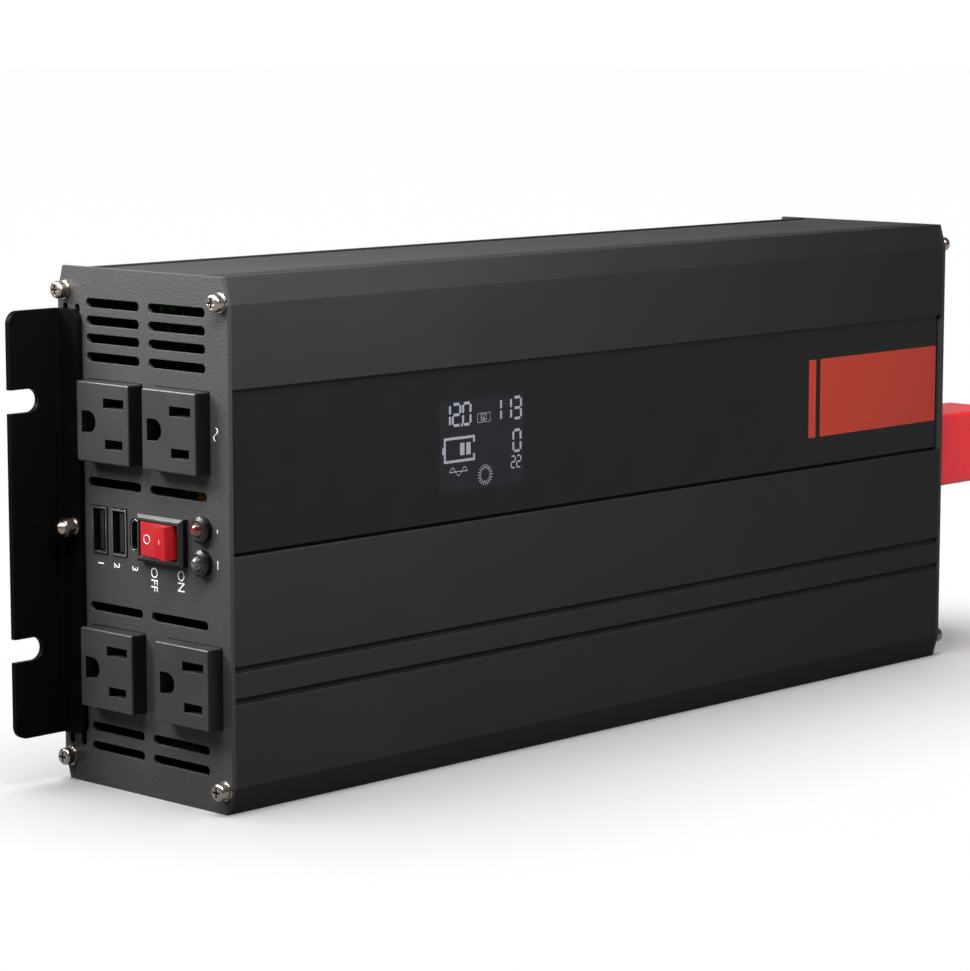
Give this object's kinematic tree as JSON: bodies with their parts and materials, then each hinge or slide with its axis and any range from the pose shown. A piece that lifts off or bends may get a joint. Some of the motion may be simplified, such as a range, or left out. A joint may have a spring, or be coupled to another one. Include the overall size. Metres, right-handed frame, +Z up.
{
  "type": "power inverter",
  "caption": "Slim aluminium-cased power inverter with grounded outlets, charging ports, rocker switch, display, cooling fans and battery terminals under slip-on covers.",
  "frame": {"origin": "centre of the long narrow face that the case stands on", "axes": "+X along the case from the outlet end to the fan end, -Y out of the labelled front face, +Y out of the mounting face, +Z up"},
  "size_m": [0.4353, 0.079, 0.163],
  "materials": {
    "shell_black": "black satin paint on extruded aluminium",
    "panel_black": "black fine-textured powder coat",
    "bracket_black": "matt black paint",
    "screw_nickel": "bright nickel plate",
    "label_gloss": "glossy black printed acrylic",
    "display_dark": "dark blue-black display glass",
    "outlet_black": "moulded black plastic",
    "contact_brass": "brass spring leaves",
    "port_steel": "plated steel port shells",
    "port_plastic": "light grey moulding",
    "board_green": "solder-masked circuit board",
    "switch_black": "black moulded switch housing",
    "rocker_red": "red moulded rocker",
    "lamp_red": "clear red lens",
    "lamp_clear": "water-clear lens",
    "lamp_black": "black lamp holder",
    "fan_black": "black moulded fan",
    "guard_chrome": "plated wire",
    "cover_red": "red moulded cover",
    "cover_black": "black moulded cover",
    "insulator_black": "black moulded insulator",
    "stud_brass": "brass threaded stud",
    "copper": "copper bar",
    "ferrite": "sintered ferrite",
    "winding_tape": "yellow insulating tape",
    "capacitor_sleeve": "shrink sleeve",
    "choke_coat": "enamelled winding on a coated ring",
    "filter_red": "red boxed film capacitor",
    "bar_aluminium": "plain aluminium",
    "transistor_black": "moulded package",
    "fuse_green": "clear green fuse body",
    "wire_red": "red insulated wire",
    "wire_black": "black insulated wire",
    "wire_green": "green insulated wire"
  },
  "bodies": {
    "case": {"front_shell": "shell_black", "rear_base": "shell_black", "outlet_panel": "panel_black", "fan_panel": "panel_black", "outlet_end_bracket": "bracket_black", "fan_end_bracket": "bracket_black", "outlet_panel_screws": "screw_nickel", "fan_panel_screws": "screw_nickel", "bracket_studs": "screw_nickel", "bracket_nuts": "screw_nickel", "label_strip": "label_gloss", "display_glass": "display_dark", "display_board": "board_green", "outlet_contacts": "contact_brass", "usb_ports": "port_steel", "usb_tongues": "port_plastic", "usb_board": "board_green", "switch_frame": "switch_black", "switch_tabs": "contact_brass", "lamp_holders": "lamp_black", "fault_lamp": "lamp_red", "power_lamp": "lamp_clear", "fan_screws": "screw_nickel", "terminal_insulators": "insulator_black", "terminal_nuts": "screw_nickel", "positive_stud": "stud_brass", "negative_stud": "stud_brass", "bus_bars": "copper", "main_board": "board_green", "board_standoffs": "stud_brass", "transformer_cores": "ferrite", "transformer_windings": "winding_tape", "input_capacitors": "capacitor_sleeve", "bulk_capacitors": "capacitor_sleeve", "output_choke": "choke_coat", "filter_block": "filter_red", "heat_bars": "bar_aluminium", "transistors": "transistor_black", "control_board": "board_green", "blade_fuses": "fuse_green", "line_wires": "wire_red", "neutral_wires": "wire_black", "ground_wires": "wire_green", "outlet_upper_rear": "outlet_black", "outlet_upper_front": "outlet_black", "outlet_lower_rear": "outlet_black", "outlet_lower_front": "outlet_black", "fan_frame_lower": "fan_black", "fan_frame_upper": "fan_black", "fan_guard_lower": "guard_chrome", "fan_guard_upper": "guard_chrome"},
    "rocker": {"switch_rocker": "rocker_red"},
    "lower_fan": {"fan_rotor_lower": "fan_black"},
    "upper_fan": {"fan_rotor_upper": "fan_black"},
    "red_cover": {"positive_cover": "cover_red"},
    "black_cover": {"negative_cover": "cover_black"}
  },
  "joints": [
    {"name": "rocker_tilt", "type": "hinge", "parent": "case", "child": "rocker", "pos_m": [-0.179, -0.0099, 0.0815], "axis": [0, 0, 1], "range_deg": [0, 26]},
    {"name": "upper_fan_spin", "type": "hinge", "parent": "case", "child": "upper_fan", "pos_m": [0.169, 0.001, 0.1305], "axis": [1, 0, 0], "continuous": true},
    {"name": "lower_fan_spin", "type": "hinge", "parent": "case", "child": "lower_fan", "pos_m": [0.169, 0.001, 0.0325], "axis": [1, 0, 0], "continuous": true},
    {"name": "red_cover_slide", "type": "slide", "parent": "case", "child": "red_cover", "axis": [1, 0, 0], "range_m": [0, 0.09]},
    {"name": "black_cover_slide", "type": "slide", "parent": "case", "child": "black_cover", "axis": [1, 0, 0], "range_m": [0, 0.09]}
  ]
}
